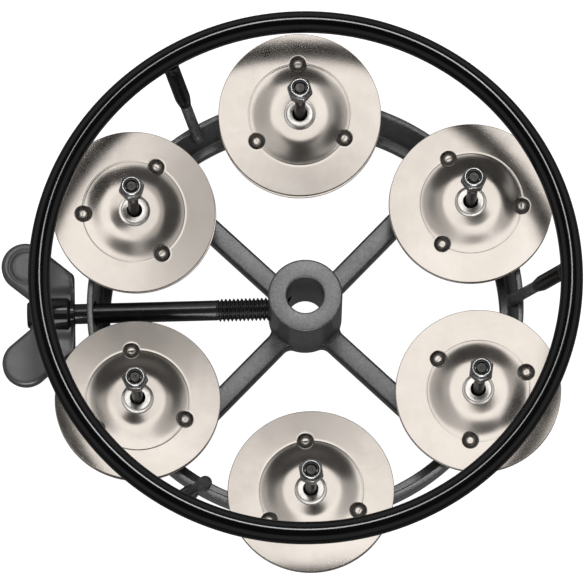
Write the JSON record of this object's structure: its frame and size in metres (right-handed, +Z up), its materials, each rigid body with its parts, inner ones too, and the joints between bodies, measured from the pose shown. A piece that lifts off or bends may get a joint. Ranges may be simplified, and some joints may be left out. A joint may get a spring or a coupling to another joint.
{
  "type": "hi-hat tambourine",
  "caption": "Rod-mounted tambourine: pairs of jingles slide on pins around a cast ring frame with a clamp hub, under a raised striker ring.",
  "frame": {"origin": "on the axis of the hub's rod bore, at the height of the frame's underside", "axes": "+Z up along the rod bore, towards the striker ring; -X along the clamp screw, towards its wing grip"},
  "size_m": [0.1435, 0.1382, 0.0433],
  "materials": {
    "cast_black": "satin black, finely textured",
    "gloss_black": "gloss black",
    "screw_black": "black oxide, semi-gloss",
    "grip_black": "satin black",
    "pin_black": "dark oxide",
    "nickel": "satin nickel plate",
    "bright_nickel": "bright nickel plate",
    "zinc": "bright zinc plate",
    "nylon": "matt nylon"
  },
  "bodies": {
    "frame": {"frame_casting": "cast_black", "striker_ring": "gloss_black", "ring_socket_1": "cast_black", "ring_socket_2": "cast_black", "ring_socket_3": "cast_black", "jingle_pin_1": "pin_black", "lock_nut_1": "zinc", "nut_insert_1": "nylon", "jingle_pin_2": "pin_black", "lock_nut_2": "zinc", "nut_insert_2": "nylon", "jingle_pin_3": "pin_black", "lock_nut_3": "zinc", "nut_insert_3": "nylon", "jingle_pin_4": "pin_black", "lock_nut_4": "zinc", "nut_insert_4": "nylon", "jingle_pin_5": "pin_black", "lock_nut_5": "zinc", "nut_insert_5": "nylon", "jingle_pin_6": "pin_black", "lock_nut_6": "zinc", "nut_insert_6": "nylon"},
    "clamp_screw": {"clamp_screw": "screw_black"},
    "wing_grip": {"wing_grip": "grip_black"},
    "lower_1": {"lower_jingle_1": "nickel", "lower_eyelet_1": "bright_nickel"},
    "upper_1": {"upper_jingle_1": "nickel", "upper_eyelet_1": "bright_nickel"},
    "lower_2": {"lower_jingle_2": "nickel", "lower_eyelet_2": "bright_nickel"},
    "upper_2": {"upper_jingle_2": "nickel", "upper_eyelet_2": "bright_nickel"},
    "lower_3": {"lower_jingle_3": "nickel", "lower_eyelet_3": "bright_nickel"},
    "upper_3": {"upper_jingle_3": "nickel", "upper_eyelet_3": "bright_nickel"},
    "lower_4": {"lower_jingle_4": "nickel", "lower_eyelet_4": "bright_nickel"},
    "upper_4": {"upper_jingle_4": "nickel", "upper_eyelet_4": "bright_nickel"},
    "lower_5": {"lower_jingle_5": "nickel", "lower_eyelet_5": "bright_nickel"},
    "upper_5": {"upper_jingle_5": "nickel", "upper_eyelet_5": "bright_nickel"},
    "lower_6": {"lower_jingle_6": "nickel", "lower_eyelet_6": "bright_nickel"},
    "upper_6": {"upper_jingle_6": "nickel", "upper_eyelet_6": "bright_nickel"}
  },
  "joints": [
    {"name": "clamp_advance", "type": "slide", "parent": "frame", "child": "clamp_screw", "axis": [1, 0, 0], "range_m": [-0.004, 0.002]},
    {"name": "wing_turn", "type": "hinge", "parent": "clamp_screw", "child": "wing_grip", "pos_m": [-0.0576, 0, 0.01], "axis": [1, 0, 0], "range_deg": [-1460, 740]},
    {"name": "lower_lift_1", "type": "slide", "parent": "frame", "child": "lower_1", "axis": [0, 0, 1], "range_m": [0, 0.007]},
    {"name": "upper_lift_1", "type": "slide", "parent": "lower_1", "child": "upper_1", "axis": [0, 0, 1], "range_m": [0, 0.0075]},
    {"name": "lower_lift_2", "type": "slide", "parent": "frame", "child": "lower_2", "axis": [0, 0, 1], "range_m": [0, 0.007]},
    {"name": "upper_lift_2", "type": "slide", "parent": "lower_2", "child": "upper_2", "axis": [0, 0, 1], "range_m": [0, 0.0075]},
    {"name": "lower_lift_3", "type": "slide", "parent": "frame", "child": "lower_3", "axis": [0, 0, 1], "range_m": [0, 0.007]},
    {"name": "upper_lift_3", "type": "slide", "parent": "lower_3", "child": "upper_3", "axis": [0, 0, 1], "range_m": [0, 0.0075]},
    {"name": "lower_lift_4", "type": "slide", "parent": "frame", "child": "lower_4", "axis": [0, 0, 1], "range_m": [0, 0.007]},
    {"name": "upper_lift_4", "type": "slide", "parent": "lower_4", "child": "upper_4", "axis": [0, 0, 1], "range_m": [0, 0.0075]},
    {"name": "lower_lift_5", "type": "slide", "parent": "frame", "child": "lower_5", "axis": [0, 0, 1], "range_m": [0, 0.007]},
    {"name": "upper_lift_5", "type": "slide", "parent": "lower_5", "child": "upper_5", "axis": [0, 0, 1], "range_m": [0, 0.0075]},
    {"name": "lower_lift_6", "type": "slide", "parent": "frame", "child": "lower_6", "axis": [0, 0, 1], "range_m": [0, 0.007]},
    {"name": "upper_lift_6", "type": "slide", "parent": "lower_6", "child": "upper_6", "axis": [0, 0, 1], "range_m": [0, 0.0075]}
  ],
  "couplings": [
    {"joint": "wing_turn", "follows": "clamp_advance", "rad_per_m": 6283.2}
  ]
}
